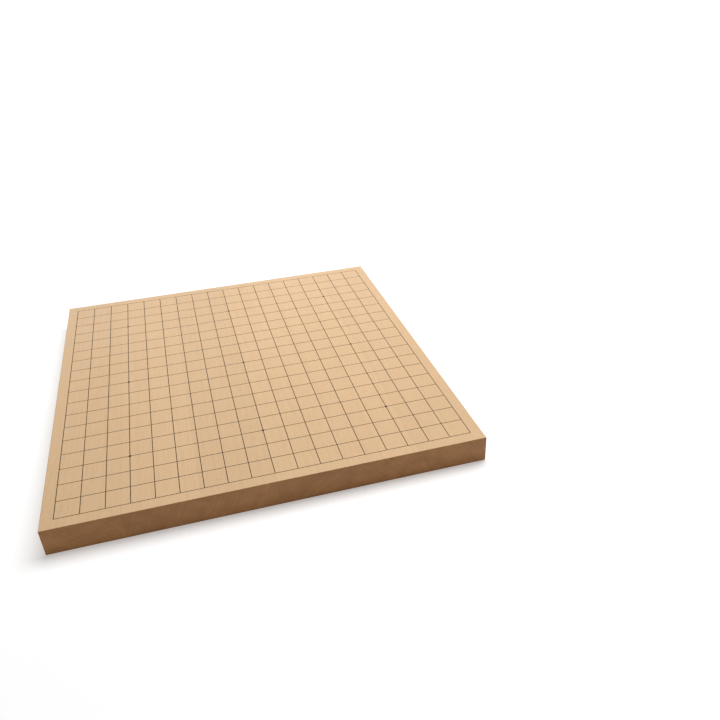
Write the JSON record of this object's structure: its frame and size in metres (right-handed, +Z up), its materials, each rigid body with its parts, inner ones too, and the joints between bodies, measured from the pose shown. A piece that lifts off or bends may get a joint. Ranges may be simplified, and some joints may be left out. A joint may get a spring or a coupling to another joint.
{
  "type": "go board",
  "caption": "Reversible wooden table board: an edge-glued slab with inlaid go lines and star points on the upper face and a shogi grid on the lower face.",
  "frame": {"origin": "middle of the lower face, the shogi face, on the surface that the board lies on", "axes": "+X across the staves to the right of a player at the front edge, +Y along the grain away from that player, +Z up out of the go face"},
  "size_m": [0.42, 0.452, 0.028],
  "materials": {
    "stave_wood": "planed pale softwood, thin satin finish",
    "glue": "cured wood glue, dull",
    "ink": "dried black-brown ink, low sheen"
  },
  "bodies": {
    "root": {"stave_1": "stave_wood", "stave_2": "stave_wood", "stave_3": "stave_wood", "stave_4": "stave_wood", "stave_5": "stave_wood", "stave_6": "stave_wood", "glue_line_1": "glue", "glue_line_2": "glue", "glue_line_3": "glue", "glue_line_4": "glue", "glue_line_5": "glue", "go_lines": "ink", "go_star_points": "ink", "shogi_lines": "ink", "shogi_star_points": "ink"}
  },
  "joints": []
}
